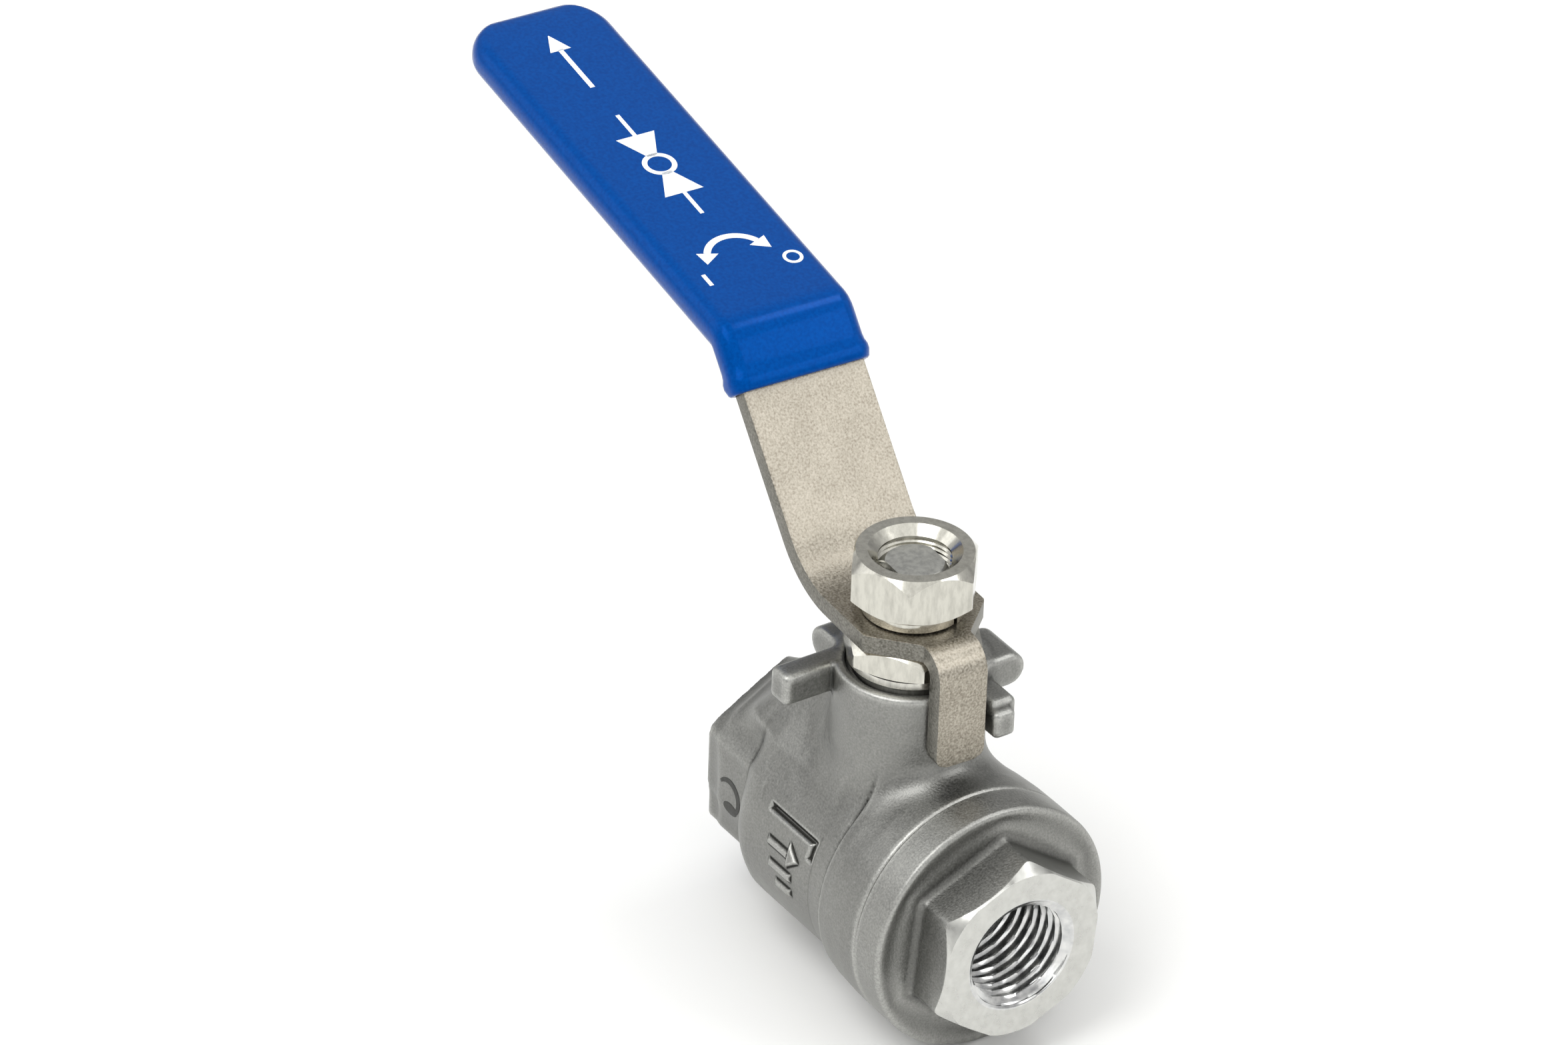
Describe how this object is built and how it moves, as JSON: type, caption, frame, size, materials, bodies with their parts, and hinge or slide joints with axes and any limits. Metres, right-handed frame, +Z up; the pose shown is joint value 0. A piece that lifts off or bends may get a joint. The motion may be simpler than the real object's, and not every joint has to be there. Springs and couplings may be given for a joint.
{
  "type": "ball valve",
  "caption": "Small quarter-turn ball valve with hexagonal threaded pipe ends, a raised stem neck and a cranked flat lever in a plastic sleeve.",
  "frame": {"origin": "centre of the rear port face, on the pipe axis", "axes": "+X along the pipe towards the end cap, +Z up the stem, +Y completes the right-handed set"},
  "size_m": [0.1093, 0.0294, 0.0758],
  "materials": {
    "cast_body": "bead-blasted stainless casting",
    "cast_cap": "cast and turned stainless",
    "ptfe": "white PTFE",
    "packing": "PTFE packing",
    "ball_steel": "polished stainless",
    "stem_steel": "turned stainless",
    "seal_rubber": "fluorocarbon rubber",
    "spring_steel": "spring steel",
    "nut_steel": "bright stainless nuts",
    "lever_steel": "tumbled stainless plate",
    "vinyl": "glossy blue vinyl"
  },
  "bodies": {
    "valve_body": {"body": "cast_body", "end_cap": "cast_cap", "rear_seat": "ptfe", "front_seat": "ptfe", "body_gasket": "ptfe", "thrust_washer": "ptfe", "packing_base_ring": "packing", "packing_lower_vee_ring": "packing", "packing_upper_vee_ring": "packing", "packing_top_ring": "packing", "gland_ring": "stem_steel"},
    "stem_and_lever": {"stem": "stem_steel", "stem_o_ring": "seal_rubber", "lower_disc_spring": "spring_steel", "upper_disc_spring": "spring_steel", "gland_nut": "nut_steel", "lever": "lever_steel", "lever_sleeve": "vinyl", "spring_washer": "nut_steel", "handle_nut": "nut_steel"},
    "ball": {"ball": "ball_steel"}
  },
  "joints": [
    {"name": "lever_turn", "type": "hinge", "parent": "valve_body", "child": "stem_and_lever", "pos_m": [0.0232, 0, 0.025], "axis": [0, 0, -1], "range_deg": [-3, 87]},
    {"name": "ball_turn", "type": "hinge", "parent": "valve_body", "child": "ball", "pos_m": [0.0232, 0, 0], "axis": [0, 0, -1], "range_deg": [-3, 87]}
  ],
  "couplings": [
    {"joint": "ball_turn", "follows": "lever_turn", "ratio": 1}
  ]
}
